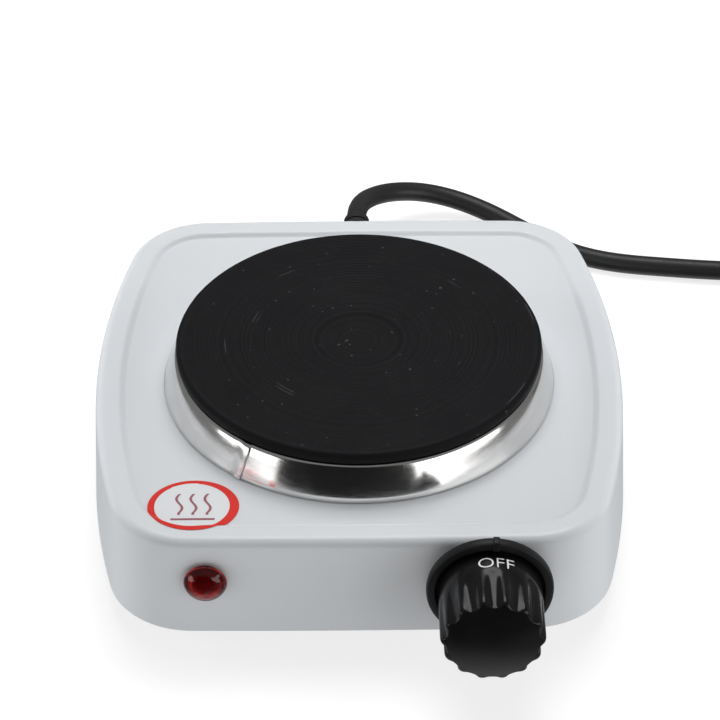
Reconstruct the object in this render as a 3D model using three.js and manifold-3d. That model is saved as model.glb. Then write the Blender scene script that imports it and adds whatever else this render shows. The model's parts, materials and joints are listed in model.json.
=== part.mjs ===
// A compact single-plate electric hot plate, in millimetres, +Z up, standing on Z = 0.
// The knob faces -Y. The casing is drawn about its own centre and then moved along Y,
// so that the origin ends up under the middle of the appliance, knob included.

import * as THREE from 'three';
import { mergeVertices } from 'three/addons/utils/BufferGeometryUtils.js';
import Module from 'manifold-3d';

const wasm = await Module();
wasm.setup();

// ---------------------------------------------------------------- driving dimensions

// Casing: bulged sides, nearly straight front and back, walls leaning out at the foot.
const HALF_WIDTH = 72.5;
const HALF_DEPTH = 72.5;
const SIDE_BULGE = 12;
const FRONT_BULGE = 1;
const CORNER_RADIUS = 22;
const SHEET = 1;
const CASING_BOTTOM = 8;
const CASING_TOP = 37.5;
const WALL_DRAFT = 1.5;
const TOP_FILLET = 3.2;
const BORDER = 7;
const PANEL_SLOPE = 1.5;
const PANEL_STEP = 1;
const SEAT_RADIUS = 58;
const OPENING_RADIUS = 46.5;

// Cast plate and its trim ring, a little in front of the casing's centre.
const PLATE_Y = -2.8;
const PLATE_RADIUS = 50;
const PLATE_TOP = 50;
const PLATE_FLANGE = 46.9;
const SKIRT_RADIUS = 45;
const RING_FOOT_RADIUS = 53.8;
const RING_SHEET = 0.7;

// Controls on the front wall.
const CONTROL_Z = 25;
const KNOB_X = 33.1;
const LAMP_X = -40.4;
const KNOB_REAR = -75.9;
const KNOB_FRONT = -98;
const KNOB_RADIUS = 13.4;
const RIB_COUNT = 14;
const BEZEL_RADIUS = 16.5;
const BEZEL_FRONT = -78.4;
const BEZEL_TURN = THREE.MathUtils.degToRad(4.5);
const SPINDLE_RADIUS = 3;

// Feet and the pillars that their screws bite into, and the earth screw's place.
const FOOT_X = 50;
const FOOT_Y = 55;
const FOOT_RADIUS = 7.5;
const EARTH = [32, 45];

// Mains lead.
const CORD_RADIUS = 3;
const CORD_EXIT_Z = 19;
const RELIEF_END = 97.5;
const COIL_CENTRE = [168, 136];
const COIL_RADIUS = 33;

// Clearance that touching pieces keep, and the casing's shift along Y.
const GAP = 0.3;
const SHIFT_Y = (-KNOB_FRONT - (HALF_DEPTH + WALL_DRAFT)) / 2;

// ---------------------------------------------------------------- finishes

function finish(color, roughness, metalness) {
  return new THREE.MeshStandardMaterial({ color, roughness, metalness });
}

const enamel = finish(0xdfe3e8, 0.35, 0.0);
const castIron = finish(0x1d1d1f, 0.6, 0.4);
const polishedSteel = finish(0xc8cacc, 0.12, 1.0);
const zincSteel = finish(0x9a9ea3, 0.4, 0.9);
const brass = finish(0xb7924a, 0.35, 0.9);
const blackPlastic = finish(0x0f0f11, 0.2, 0.0);
const redLens = finish(0x8c0d14, 0.12, 0.0);
const clearGlass = finish(0xe8d8d0, 0.1, 0.0);
const blackRubber = finish(0x18181a, 0.75, 0.0);
const ceramic = finish(0xd8d2c4, 0.7, 0.0);
const mineralWool = finish(0xb8b2a2, 0.95, 0.0);
const cordPvc = finish(0x111113, 0.45, 0.0);
const wireSleeve = finish(0xc9b458, 0.6, 0.0);

// ---------------------------------------------------------------- geometry helpers

/** A closed manifold solid from a three.js geometry. */
function solid(source) {
  const bare = source.clone();
  bare.deleteAttribute('normal');
  bare.deleteAttribute('uv');
  const merged = mergeVertices(bare, 1e-4);
  const corners = [];
  for (let i = 0; i < merged.index.count; i += 3) {
    const [a, b, c] = [0, 1, 2].map((k) => merged.index.getX(i + k));
    if (a !== b && b !== c && c !== a) corners.push(a, b, c);
  }
  const vertProperties = new Float32Array(merged.attributes.position.array);
  const triVerts = new Uint32Array(corners);
  return new wasm.Manifold(new wasm.Mesh({ numProp: 3, vertProperties, triVerts }));
}

/** A three.js geometry from a manifold solid. */
function meshed(body) {
  const { vertProperties, triVerts } = body.getMesh();
  const geometry = new THREE.BufferGeometry();
  geometry.setAttribute('position', new THREE.BufferAttribute(vertProperties, 3));
  geometry.setIndex(new THREE.BufferAttribute(triVerts, 1));
  geometry.computeVertexNormals();
  return geometry;
}

/** The first geometry less all of the others. */
function cut(base, ...tools) {
  return meshed(tools.reduce((body, tool) => body.subtract(solid(tool)), solid(base)));
}

/** All the geometries joined. */
function join(...pieces) {
  return meshed(pieces.map(solid).reduce((body, piece) => body.add(piece)));
}

function box(width, depth, height, x, y, z) {
  return new THREE.BoxGeometry(width, depth, height).translate(x, y, z);
}

/** A turned solid about the Y axis: profile points are [radius, y]. */
function turnedY(profile, segments, x = 0, z = 0) {
  const points = profile.map(([r, y]) => new THREE.Vector2(r, y));
  if (THREE.ShapeUtils.area(points) < 0) points.reverse();
  return new THREE.LatheGeometry(points, segments).translate(x, 0, z);
}

/** A turned solid about a vertical axis: profile points are [radius, z]. */
function turnedZ(profile, segments, x = 0, y = 0) {
  return turnedY(profile, segments).rotateX(Math.PI / 2).translate(x, y, 0);
}

/** A closed ring profile between two radii and two heights. */
function band(inner, outer, low, high) {
  return [[inner, low], [outer, low], [outer, high], [inner, high], [inner, low]];
}

/** A solid disc profile that starts and ends on the axis. */
function disc(radius, low, high) {
  return [[0, low], [radius, low], [radius, high], [0, high]];
}

function polygon(points) {
  return new THREE.Shape(points.map(([x, y]) => new THREE.Vector2(x, y)));
}

function regular(sides, radius) {
  return polygon(Array.from({ length: sides }, (_, k) => {
    const angle = (2 * Math.PI * (k + 0.5)) / sides;
    return [radius * Math.cos(angle), radius * Math.sin(angle)];
  }));
}

/** A shape extruded from one height to another. */
function prism(shape, low, high, curveSegments = 4) {
  const settings = { depth: high - low, bevelEnabled: false, curveSegments };
  return new THREE.ExtrudeGeometry(shape, settings).translate(0, 0, low);
}

/** A round tube along a smooth curve through the points. */
function tube(points, radius, sides, steps) {
  const path = new THREE.CatmullRomCurve3(points.map((p) => new THREE.Vector3(...p)));
  const settings = { steps, bevelEnabled: false, extrudePath: path };
  return new THREE.ExtrudeGeometry(regular(sides, radius), settings);
}

// ---------------------------------------------------------------- casing outline

/** One quarter of the plan outline, from +X round to +Y, moved inwards by an inset. */
function quarterOutline(inset) {
  const sideRadius = (HALF_DEPTH ** 2 + SIDE_BULGE ** 2) / (2 * SIDE_BULGE);
  const frontRadius = (HALF_WIDTH ** 2 + FRONT_BULGE ** 2) / (2 * FRONT_BULGE);
  const side = new THREE.Vector2(HALF_WIDTH - sideRadius, 0);
  const front = new THREE.Vector2(0, HALF_DEPTH - frontRadius);
  const toSide = sideRadius - CORNER_RADIUS;
  const toFront = frontRadius - CORNER_RADIUS;
  const span = side.distanceTo(front);
  const along = (toSide ** 2 - toFront ** 2 + span ** 2) / (2 * span);
  const across = Math.sqrt(toSide ** 2 - along ** 2);
  const unit = front.clone().sub(side).divideScalar(span);
  const corner = new THREE.Vector2(-unit.y, unit.x).multiplyScalar(across)
    .addScaledVector(unit, along).add(side);
  const sideEnd = Math.atan2(corner.y, corner.x - side.x);
  const frontStart = Math.atan2(corner.y - front.y, corner.x);
  const arc = (centre, radius, from, to, parts) => Array.from({ length: parts }, (_, k) => {
    const angle = from + ((to - from) * k) / parts;
    return [centre.x + radius * Math.cos(angle), centre.y + radius * Math.sin(angle)];
  });
  return [
    ...arc(side, sideRadius - inset, 0, sideEnd, 4),
    ...arc(corner, CORNER_RADIUS - inset, sideEnd, frontStart, 6),
    ...arc(front, frontRadius - inset, frontStart, Math.PI / 2, 1),
    [0, HALF_DEPTH - inset],
  ];
}

/** The whole plan outline, counter-clockwise. */
function outline(inset) {
  const quarter = quarterOutline(inset);
  const rising = quarter.slice(1, -1);
  const falling = [...rising].reverse();
  const [east, north] = [quarter[0], quarter.at(-1)];
  const mirror = (points, sx, sy) => points.map(([x, y]) => [sx * x, sy * y]);
  return [
    east, ...rising, north, ...mirror(falling, -1, 1),
    ...mirror([east], -1, 1), ...mirror(rising, -1, -1),
    ...mirror([north], 1, -1), ...mirror(falling, 1, -1),
  ];
}

/** A solid through a stack of outlines, each given as [inset, z], bottom first. */
function stacked(levels) {
  const rings = levels.map(([inset, z]) => outline(inset).map(([x, y]) => [x, y, z]));
  const count = rings[0].length;
  const positions = [...rings.flat(), [0, 0, levels[0][1]], [0, 0, levels.at(-1)[1]]];
  const lowCentre = positions.length - 2;
  const highCentre = positions.length - 1;
  const top = (rings.length - 1) * count;
  const index = [];
  for (let i = 0; i < count; i += 1) {
    const j = (i + 1) % count;
    index.push(lowCentre, j, i, highCentre, top + i, top + j);
    for (let base = 0; base < top; base += count) {
      index.push(base + i, base + j, base + count + j);
      index.push(base + i, base + count + j, base + count + i);
    }
  }
  const geometry = new THREE.BufferGeometry();
  geometry.setAttribute('position', new THREE.Float32BufferAttribute(positions.flat(), 3));
  geometry.setIndex(index);
  return geometry;
}

/** The wall, rounded edge, border and sunk panel, moved in and down by an offset. */
function casingLevels(offset, bottom) {
  const straight = CASING_TOP - TOP_FILLET;
  const fillet = [0, 30, 60, 90].map((degrees) => {
    const angle = THREE.MathUtils.degToRad(degrees);
    return [TOP_FILLET * (1 - Math.cos(angle)), straight + TOP_FILLET * Math.sin(angle)];
  });
  const slope = (straight - bottom) / (straight - CASING_BOTTOM);
  return [
    [-WALL_DRAFT * slope + offset, bottom],
    ...fillet.map(([inset, z]) => [inset + offset, z - offset]),
    [BORDER + offset, CASING_TOP - offset],
    [BORDER + PANEL_SLOPE + offset, CASING_TOP - PANEL_STEP - offset],
  ];
}

// ---------------------------------------------------------------- casing

function housing() {
  const floor = CASING_TOP - PANEL_STEP;
  const seat = turnedZ([
    [OPENING_RADIUS - 1, floor - SHEET + 0.1], [SEAT_RADIUS, floor - SHEET + 0.1],
    [SEAT_RADIUS, floor], [SEAT_RADIUS - 1, CASING_TOP - GAP],
    [OPENING_RADIUS - 1, CASING_TOP - GAP], [OPENING_RADIUS - 1, floor - SHEET + 0.1],
  ], 40, 0, PLATE_Y);
  const shell = cut(stacked(casingLevels(0, CASING_BOTTOM)),
    stacked(casingLevels(SHEET, CASING_BOTTOM - 1)));
  return cut(join(shell, seat),
    turnedZ(disc(OPENING_RADIUS, 20, 60), 40, 0, PLATE_Y),
    turnedY(disc(4.9, -90, -60), 20, KNOB_X, CONTROL_Z),
    turnedY(disc(5, -90, -60), 20, LAMP_X, CONTROL_Z),
    turnedY(disc(5, 60, 90), 20, 0, CORD_EXIT_Z));
}

function basePlate() {
  const low = CASING_BOTTOM + SHEET;
  const pan = prism(polygon(outline(0.4)), low, low + 4);
  const hollow = prism(polygon(outline(0.4 + SHEET)), low + SHEET, low + 5);
  const slots = [];
  for (const x of [-31, 31]) {
    for (let row = -2; row <= 2; row += 1) {
      const slot = new THREE.Shape().absarc(11.5, 0, 1.6, -Math.PI / 2, Math.PI / 2)
        .absarc(-11.5, 0, 1.6, Math.PI / 2, 1.5 * Math.PI);
      slots.push(prism(slot, low - 1, low + 2).translate(x, 9 * row, 0));
    }
  }
  const holes = footPlaces().map(([x, y]) => turnedZ(disc(2.2, low - 1, low + 2), 12, x, y));
  const earthHole = turnedZ(disc(2.2, low - 1, low + 2), 12, EARTH[0], EARTH[1]);
  return cut(pan, hollow, ...slots, ...holes, earthHole);
}

function footPlaces() {
  return [[-FOOT_X, -FOOT_Y], [FOOT_X, -FOOT_Y], [-FOOT_X, FOOT_Y], [FOOT_X, FOOT_Y]];
}

const FOOT_NAMES = ['front_left', 'front_right', 'rear_left', 'rear_right'];

function foot([x, y]) {
  const top = CASING_BOTTOM + SHEET - GAP;
  return turnedZ([
    [2.1, 5], [4.3, 5], [4.3, 0], [FOOT_RADIUS - 1.2, 0], [FOOT_RADIUS - 0.5, 0.8],
    [FOOT_RADIUS, top], [2.1, top], [2.1, 5],
  ], 16, x, y);
}

function footScrew([x, y]) {
  return turnedZ([[0, 2.3], [3.2, 2.6], [3.5, 4.7], [1.75, 4.7], [1.75, 23], [0, 23]], 12, x, y);
}

function pillar([x, y]) {
  const top = CASING_TOP - PANEL_STEP - SHEET - GAP;
  return turnedZ([
    [0, 26], [2.05, 26], [2.05, 10.4], [4, 10.4], [4, top], [0, top],
  ], 12, x, y);
}

// ---------------------------------------------------------------- plate and heater

function heatingPlate() {
  const edge = PLATE_RADIUS - 0.9;
  return turnedZ([
    [0, PLATE_TOP - 0.6], [11, PLATE_TOP - 0.6], [12, PLATE_TOP], [edge, PLATE_TOP],
    [PLATE_RADIUS, PLATE_TOP - 0.9], [PLATE_RADIUS, PLATE_FLANGE],
    [SKIRT_RADIUS, PLATE_FLANGE], [SKIRT_RADIUS, 36], [42, 36], [42, 43.2],
    [13, 43.2], [13, 36], [3, 36], [3, 44.3], [0, 44.3],
  ], 40, 0, PLATE_Y);
}

function trimRing() {
  const lip = PLATE_FLANGE - GAP;
  const foot = CASING_TOP;
  return turnedZ([
    [SKIRT_RADIUS + 0.5, lip], [PLATE_RADIUS - 0.2, lip], [PLATE_RADIUS + 0.4, lip - 0.5],
    [PLATE_RADIUS + 1.6, 43.5], [PLATE_RADIUS + 2.9, 40.2], [RING_FOOT_RADIUS, foot],
    [RING_FOOT_RADIUS - RING_SHEET, foot], [PLATE_RADIUS + 2.1, 40.2],
    [PLATE_RADIUS + 0.8, 43.5], [PLATE_RADIUS - 0.5, lip - RING_SHEET],
    [SKIRT_RADIUS + 0.5, lip - RING_SHEET], [SKIRT_RADIUS + 0.5, lip],
  ], 40, 0, PLATE_Y);
}

// The element's ends and its terminals lie on one radius of the plate.
const TERMINAL_ANGLE = THREE.MathUtils.degToRad(130);
const TERMINAL_RADII = [20, 38];

function polar(radius, angle, z) {
  return [radius * Math.cos(angle), PLATE_Y + radius * Math.sin(angle), z];
}

function heatingElement() {
  const turns = 3;
  const [inner, outer] = TERMINAL_RADII;
  const points = Array.from({ length: 36 * turns / 2 + 1 }, (_, k) => {
    const part = k / (36 * turns / 2);
    return polar(outer + (inner - outer) * part, TERMINAL_ANGLE + 2 * Math.PI * turns * part, 41.2);
  });
  return tube(points, 1.3, 6, 60);
}

function terminalHoles(low, high) {
  return TERMINAL_RADII.map((radius) => {
    const [x, y] = polar(radius, TERMINAL_ANGLE, 0);
    return turnedZ(disc(1.8, low, high), 10, x, y);
  });
}

function insulationRing() {
  return cut(turnedZ(band(13.3, 41.7, 36.3, 39.6), 32, 0, PLATE_Y), ...terminalHoles(35, 41));
}

function bottomCover() {
  const pan = turnedZ([
    [3.2, 33.2], [44, 33.2], [44, 35.7], [43.2, 35.7], [43.2, 34], [3.2, 34], [3.2, 33.2],
  ], 32, 0, PLATE_Y);
  return cut(pan, ...terminalHoles(32, 35));
}

function clampBridge() {
  const strap = polygon([
    [-56, 33.8], [-50.9, 33.8], [-49.5, 31.4], [49.5, 31.4], [50.9, 33.8], [56, 33.8],
    [56, 35.2], [50, 35.2], [48.6, 32.8], [-48.6, 32.8], [-50, 35.2], [-56, 35.2],
  ]);
  const bar = new THREE.ExtrudeGeometry(strap, { depth: 14, bevelEnabled: false })
    .rotateX(Math.PI / 2).translate(0, PLATE_Y + 7, 0);
  return cut(bar, turnedZ(disc(3.1, 30, 34), 12, 0, PLATE_Y));
}

function hexNut(bore, radius, low, high) {
  const body = regular(6, radius);
  body.holes.push(new THREE.Path().absarc(0, 0, bore, 0, 2 * Math.PI, true));
  return prism(body, low, high, 8);
}

function terminalBlock() {
  const [x, y] = polar(29, TERMINAL_ANGLE, 0);
  const groove = new THREE.BoxGeometry(30, 1.2, 3).translate(0, 0, -4.5);
  return cut(new THREE.BoxGeometry(26, 11, 9), groove).rotateZ(TERMINAL_ANGLE)
    .translate(x, y, 25);
}

function terminalPin(radius) {
  const [x, y] = polar(radius, TERMINAL_ANGLE, 0);
  return turnedZ(disc(1.2, 29.8, 39.6), 8, x, y);
}

// ---------------------------------------------------------------- thermostat

const STACK_X = KNOB_X - 10.5;

function thermostatFrame() {
  const back = box(23.5, 1.2, 17, KNOB_X - 2.75, -70.1, CONTROL_Z);
  const upper = box(10, 11.5, 1.2, KNOB_X + 4, -65, CONTROL_Z + 7.9);
  const lower = box(10, 11.5, 1.2, KNOB_X + 4, -65, CONTROL_Z - 7.9);
  return cut(join(back, upper, lower),
    turnedY(disc(4.7, -80, -60), 16, KNOB_X, CONTROL_Z),
    turnedY(disc(1.6, -80, -60), 10, STACK_X, CONTROL_Z));
}

function thermostatBush() {
  return turnedY([
    [3.3, -79.2], [4.4, -79.2], [4.4, -69.2], [6, -69.2], [6, -68], [3.3, -68],
    [3.3, -79.2],
  ], 20, KNOB_X, CONTROL_Z);
}

function bushNut() {
  return hexNut(4.9, 7.4, 0, 2.3).rotateX(Math.PI / 2).translate(KNOB_X, -75.6, CONTROL_Z);
}

function thermostatSpindle() {
  const rod = turnedY([
    [0, -90.6], [SPINDLE_RADIUS, -90.6], [SPINDLE_RADIUS, -67.4], [1.6, -67.2],
    [1.6, -66.5], [0, -66.5],
  ], 20, KNOB_X, CONTROL_Z);
  return cut(rod, box(8, 11, 3, KNOB_X, -86.5, CONTROL_Z - SPINDLE_RADIUS - 0.3));
}

function stackCeramic(low, high) {
  return turnedY(band(1.7, 3.4, low, high), 14, STACK_X, CONTROL_Z);
}

function stackRivet() {
  return turnedY([
    [0, -70.6], [1.3, -70.6], [1.3, -59.2], [2.7, -59.2], [2.2, -58.1], [0, -58.1],
  ], 12, STACK_X, CONTROL_Z);
}

/** A flat blade on the stack, running from its tab end to its free end. */
function blade(low, high, tabX, tipX, height) {
  const strip = box(tipX - tabX, high - low, height, (tabX + tipX) / 2, (low + high) / 2, CONTROL_Z);
  const eye = turnedY(disc(3.4, low, high), 14, STACK_X, CONTROL_Z);
  return cut(join(strip, eye), turnedY(disc(1.7, low - 1, high + 1), 10, STACK_X, CONTROL_Z));
}

function contactArm() {
  const point = turnedY(disc(1.7, -65.7, -64.4), 10, KNOB_X + 6, CONTROL_Z);
  return join(blade(-66.1, -65.6, 12, KNOB_X + 8, 5), point);
}

function fixedContact() {
  const point = turnedY(disc(1.7, -62.9, -61.1), 10, KNOB_X + 6, CONTROL_Z);
  return join(blade(-61.2, -60.6, 12, KNOB_X + 8, 5), point);
}

// ---------------------------------------------------------------- knob and bezel

function knobRib(index) {
  const angle = (2 * Math.PI * (index + 0.5)) / RIB_COUNT;
  return new THREE.CylinderGeometry(1.25, 0.5, 11.5, 6)
    .rotateX(Math.PI).rotateX(0.07)
    .translate(0, -90, KNOB_RADIUS - 2.1).rotateY(angle).translate(KNOB_X, 0, CONTROL_Z);
}

function knob() {
  const body = turnedY([
    [0, KNOB_FRONT], [4, KNOB_FRONT + 0.2], [8, KNOB_FRONT + 0.9], [10.6, KNOB_FRONT + 1.9],
    [11.6, KNOB_FRONT + 3], [12.3, -90], [KNOB_RADIUS, -82], [KNOB_RADIUS, KNOB_REAR],
    [0, KNOB_REAR],
  ], 30, KNOB_X, CONTROL_Z);
  const ribs = Array.from({ length: RIB_COUNT }, (_, index) => knobRib(index));
  const cavity = turnedY(disc(10.8, -80.4, -70), 24, KNOB_X, CONTROL_Z);
  const bore = turnedY(disc(SPINDLE_RADIUS + GAP, -91.2, -75), 20, KNOB_X, CONTROL_Z);
  return cut(join(body, ...ribs), cavity, bore);
}

function knobBezel() {
  const dish = turnedY([
    [4.9, -74.3], [BEZEL_RADIUS - 1.6, -74.3], [BEZEL_RADIUS, -76.3],
    [BEZEL_RADIUS, BEZEL_FRONT + 0.6], [BEZEL_RADIUS - 0.6, BEZEL_FRONT],
    [14.2, BEZEL_FRONT], [14, BEZEL_FRONT + 0.6], [14, -75.3], [4.9, -75.3], [4.9, -74.3],
  ], 30, KNOB_X, CONTROL_Z);
  const pointer = new THREE.BoxGeometry(1.8, 2.8, 2.6).translate(0, BEZEL_FRONT + 1.2, 15.9)
    .rotateY(BEZEL_TURN).translate(KNOB_X, 0, CONTROL_Z);
  return join(dish, pointer);
}

// ---------------------------------------------------------------- indicator lamp

function indicatorLens() {
  return turnedY([
    [0, -77.2], [2.2, -76.9], [4.2, -76.1], [5.3, -75], [5.7, -74.3], [5.7, -73.7],
    [4.6, -73.7], [4.6, -60], [3.6, -60], [3.6, -74.2], [2.6, -75.2], [0, -75.8],
  ], 24, LAMP_X, CONTROL_Z);
}

function lampClip() {
  const ring = turnedY(band(4.9, 7.6, -70.9, -70.1), 20, LAMP_X, CONTROL_Z);
  const notches = [0, 1, 2].map((k) => new THREE.BoxGeometry(1.6, 3, 3)
    .translate(0, -70.5, 7.6).rotateY((2 * Math.PI * k) / 3).translate(LAMP_X, 0, CONTROL_Z));
  return cut(ring, ...notches);
}

function neonLamp() {
  return turnedY([
    [0, -72.6], [1.4, -72.2], [2.4, -70.8], [2.4, -62.4], [1.4, -61.4], [0, -61.4],
  ], 12, LAMP_X, CONTROL_Z);
}

// ---------------------------------------------------------------- wiring inside

const WIRE_RADIUS = 0.95;

function wire(points) {
  return tube(points, WIRE_RADIUS, 6, 3 * (points.length - 1));
}

function terminalUnder(radius, z) {
  return polar(radius, TERMINAL_ANGLE, z);
}

const WIRE_ROUTES = {
  wire_live: [[1.3, 51, 18], [1.6, 49, 17.8], [8, 40, 14], [22, 20, 13.2],
    [30, -10, 13.2], [22, -40, 14], [7, -54, 21], [7.6, -60.4, 25], [11.4, -60.9, 25]],
  wire_link: [[11.2, -65.85, 25], [6, -65.3, 24.6], [-4, -60, 20], [-18, -40, 14],
    [-33, -12, 14], [-27, 4, 14], [-14.5, 9.5, 16], terminalUnder(20, 19.7)],
  wire_neutral: [[-1.3, 51, 18], [-1.8, 49.6, 17.6], [-5.4, 47.2, 14.4], [-6, 44.6, 14]],
  wire_fused: [[-6, 31.4, 14], [-6.6, 29.6, 14], [-10, 27, 14], [-19, 25.5, 15.5],
    terminalUnder(38, 19.7)],
  wire_earth: [[0, 51, 20.5], [0.6, 49.4, 20.8], [8, 46.6, 21.5], [18, 45.6, 15], [24.4, 45, 12.4]],
  wire_lamp: [[LAMP_X, -60.9, 25], [-40, -53, 22], [-43, -30, 15], [-42, 6, 14],
    [-36, 22, 15], [-29.5, 27.5, 19.3]],
};

function thermalFuse() {
  return turnedY([
    [0, 31.9], [1.2, 32], [2.2, 33], [2.2, 43], [1.2, 44], [0, 44.1],
  ], 12, -6, 14);
}

function earthLug() {
  const [x, y] = EARTH;
  const plate = turnedZ(disc(4, 10.3, 11.1), 16, x, y);
  const tongue = box(3, 2.6, 2.2, x - 5.2, y, 11.4);
  return cut(join(plate, tongue), turnedZ(disc(2.2, 9, 13), 12, x, y));
}

function earthScrew() {
  const [x, y] = EARTH;
  return turnedZ([[0, 8.4], [1.8, 8.4], [1.8, 11.4], [3.4, 11.4], [3.1, 13.6], [0, 13.9]], 12, x, y);
}

function cordTail() {
  return turnedY(disc(CORD_RADIUS, 51.7, 69.6), 10, 0, CORD_EXIT_Z);
}

function cordClamp() {
  const saddle = box(16, 6, 14, 0, 60, 17.3);
  return cut(saddle, turnedY(disc(CORD_RADIUS + GAP, 50, 70), 12, 0, CORD_EXIT_Z),
    box(5, 8, 4, 8, 60, 23), box(5, 8, 4, -8, 60, 23));
}

// ---------------------------------------------------------------- mains lead

function strainRelief() {
  const groove = (y, radius) => [[radius, y], [radius - 0.8, y + 0.6], [radius - 0.8, y + 1.8],
    [radius - 0.1, y + 2.4]];
  return turnedY([
    [0, 69.9], [5.7, 69.9], [5.7, 71.6], [4.6, 71.6], [4.6, 73.8], [7, 73.8], [7, 75.4],
    [5.8, 76.2],
    ...groove(79, 5.6), ...groove(83.5, 5.2), ...groove(88, 4.8),
    [3.7, RELIEF_END], [0, RELIEF_END],
  ], 12, 0, CORD_EXIT_Z);
}

// The lead's route from the strain relief to its coil, by hand, in the finished frame.
const CORD_ROUTE = [
  [0, 109.9, 19], [0, 113, 18.9], [0.5, 118.5, 17.9], [3, 127, 15.2], [9.6, 135.4, 12],
  [20, 140.6, 8.8], [31.5, 140.2, 6], [42.5, 135, 4.1], [52, 126.8, 3.2],
  [61, 118.4, 3.05], [70.5, 111.6, 3.05], [82, 107.8, 3.05], [94, 106.1, 3.05],
  [107, 104.2, 3.1], [120, 102.7, 3.4], [132, 102, 3.8], [143.6, 101.8, 3.9],
];

// From the coil's outer turn to the plug.
const CORD_END_ROUTE = [
  [192.6, 101.6, 9.8], [197, 101, 10.8], [202, 100.2, 12.4], [206.5, 100, 13],
];

function cordCoil() {
  const [x, y] = COIL_CENTRE;
  const half = 2 * CORD_RADIUS;
  return turnedZ([
    [COIL_RADIUS - half, 2.8], [COIL_RADIUS - half + 2, 0.8], [COIL_RADIUS + half - 2, 0.8],
    [COIL_RADIUS + half, 2.8], [COIL_RADIUS + half, 10.8], [COIL_RADIUS + half - 2, 12.8],
    [COIL_RADIUS - half + 2, 12.8], [COIL_RADIUS - half, 10.8], [COIL_RADIUS - half, 2.8],
  ], 32, x, y);
}

function cordTie() {
  const [x, y] = COIL_CENTRE;
  const loop = polygon([[-6.8, 0], [6.8, 0], [6.8, 13.6], [-6.8, 13.6]]);
  loop.holes.push(new THREE.Path([[-6.3, 0.5], [-6.3, 13.1], [6.3, 13.1], [6.3, 0.5]]
    .map(([u, v]) => new THREE.Vector2(u, v))));
  return new THREE.ExtrudeGeometry(loop, { depth: 5, bevelEnabled: false })
    .rotateX(Math.PI / 2).translate(x + COIL_RADIUS, y + 2.5, 0);
}

const PLUG = [207, 100, 13];

function plugBody() {
  const [x, y, z] = PLUG;
  const section = (halfWidth, low, high) => polygon([
    [-halfWidth, low + 3], [-halfWidth + 3, low], [halfWidth - 3, low], [halfWidth, low + 3],
    [halfWidth, high - 3], [halfWidth - 3, high], [-halfWidth + 3, high], [-halfWidth, high - 3],
  ]);
  const along = (shape, from, to) => prism(shape, from, to)
    .rotateX(Math.PI / 2).rotateZ(Math.PI / 2).translate(x, y, z);
  const neck = turnedY([[0, 0], [3.6, 0], [4.8, 14], [0, 14]], 12).rotateZ(-Math.PI / 2)
    .translate(x, y, z);
  return join(neck, along(section(10, -10, 10), 12, 22), along(section(12.6, -13, 13), 20, 40));
}

function plugBlade(side) {
  const [x, y, z] = PLUG;
  return box(17, 1.6, 6.4, x + 40 + GAP + 8.5, y + side * 6.35, z - 5);
}

function plugEarthPin() {
  const [x, y, z] = PLUG;
  return turnedY(disc(2.4, 0, 20), 12).rotateZ(-Math.PI / 2).translate(x + 40 + GAP, y, z + 6.9);
}

// ---------------------------------------------------------------- assembly

const hotPlate = new THREE.Group();
const appliance = new THREE.Group();
appliance.position.y = SHIFT_Y;
hotPlate.add(appliance);

function add(name, geometry, material, parent = appliance) {
  const mesh = new THREE.Mesh(geometry, material);
  mesh.name = name;
  parent.add(mesh);
}

add('housing', housing(), enamel);
add('base_plate', basePlate(), zincSteel);
footPlaces().forEach((place, k) => {
  add(`foot_${FOOT_NAMES[k]}`, foot(place), blackRubber);
  add(`foot_screw_${FOOT_NAMES[k]}`, footScrew(place), zincSteel);
  add(`pillar_${FOOT_NAMES[k]}`, pillar(place), zincSteel);
});

add('heating_plate', heatingPlate(), castIron);
add('trim_ring', trimRing(), polishedSteel);
add('heating_element', heatingElement(), zincSteel);
add('insulation_ring', insulationRing(), mineralWool);
add('bottom_cover', bottomCover(), zincSteel);
add('plate_stud', turnedZ(disc(2.7, 23.5, 44), 12, 0, PLATE_Y), zincSteel);
add('clamp_bridge', clampBridge(), zincSteel);
add('clamp_nut', hexNut(3, 5.8, 26.6, 31.1).translate(0, PLATE_Y, 0), zincSteel);
add('terminal_block', terminalBlock(), ceramic);
add('terminal_pin_inner', terminalPin(TERMINAL_RADII[0]), brass);
add('terminal_pin_outer', terminalPin(TERMINAL_RADII[1]), brass);

add('thermostat_frame', thermostatFrame(), zincSteel);
add('thermostat_bush', thermostatBush(), brass);
add('bush_nut', bushNut(), brass);
add('thermostat_spindle', thermostatSpindle(), zincSteel);
add('ceramic_front', stackCeramic(-69.2, -66.4), ceramic);
add('contact_arm', contactArm(), brass);
add('ceramic_middle', stackCeramic(-65.3, -61.5), ceramic);
add('fixed_contact', fixedContact(), brass);
add('bimetal_strip', blade(-60.3, -59.5, 18, KNOB_X + 7, 6), brass);
add('stack_rivet', stackRivet(), zincSteel);

add('knob', knob(), blackPlastic);
add('knob_bezel', knobBezel(), blackPlastic);

add('indicator_lens', indicatorLens(), redLens);
add('lamp_clip', lampClip(), zincSteel);
add('neon_lamp', neonLamp(), clearGlass);

for (const [name, route] of Object.entries(WIRE_ROUTES)) add(name, wire(route), wireSleeve);
add('thermal_fuse', thermalFuse(), zincSteel);
add('earth_lug', earthLug(), brass);
add('earth_screw', earthScrew(), brass);
add('cord_tail', cordTail(), cordPvc);
add('cord_clamp', cordClamp(), blackPlastic);

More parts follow.
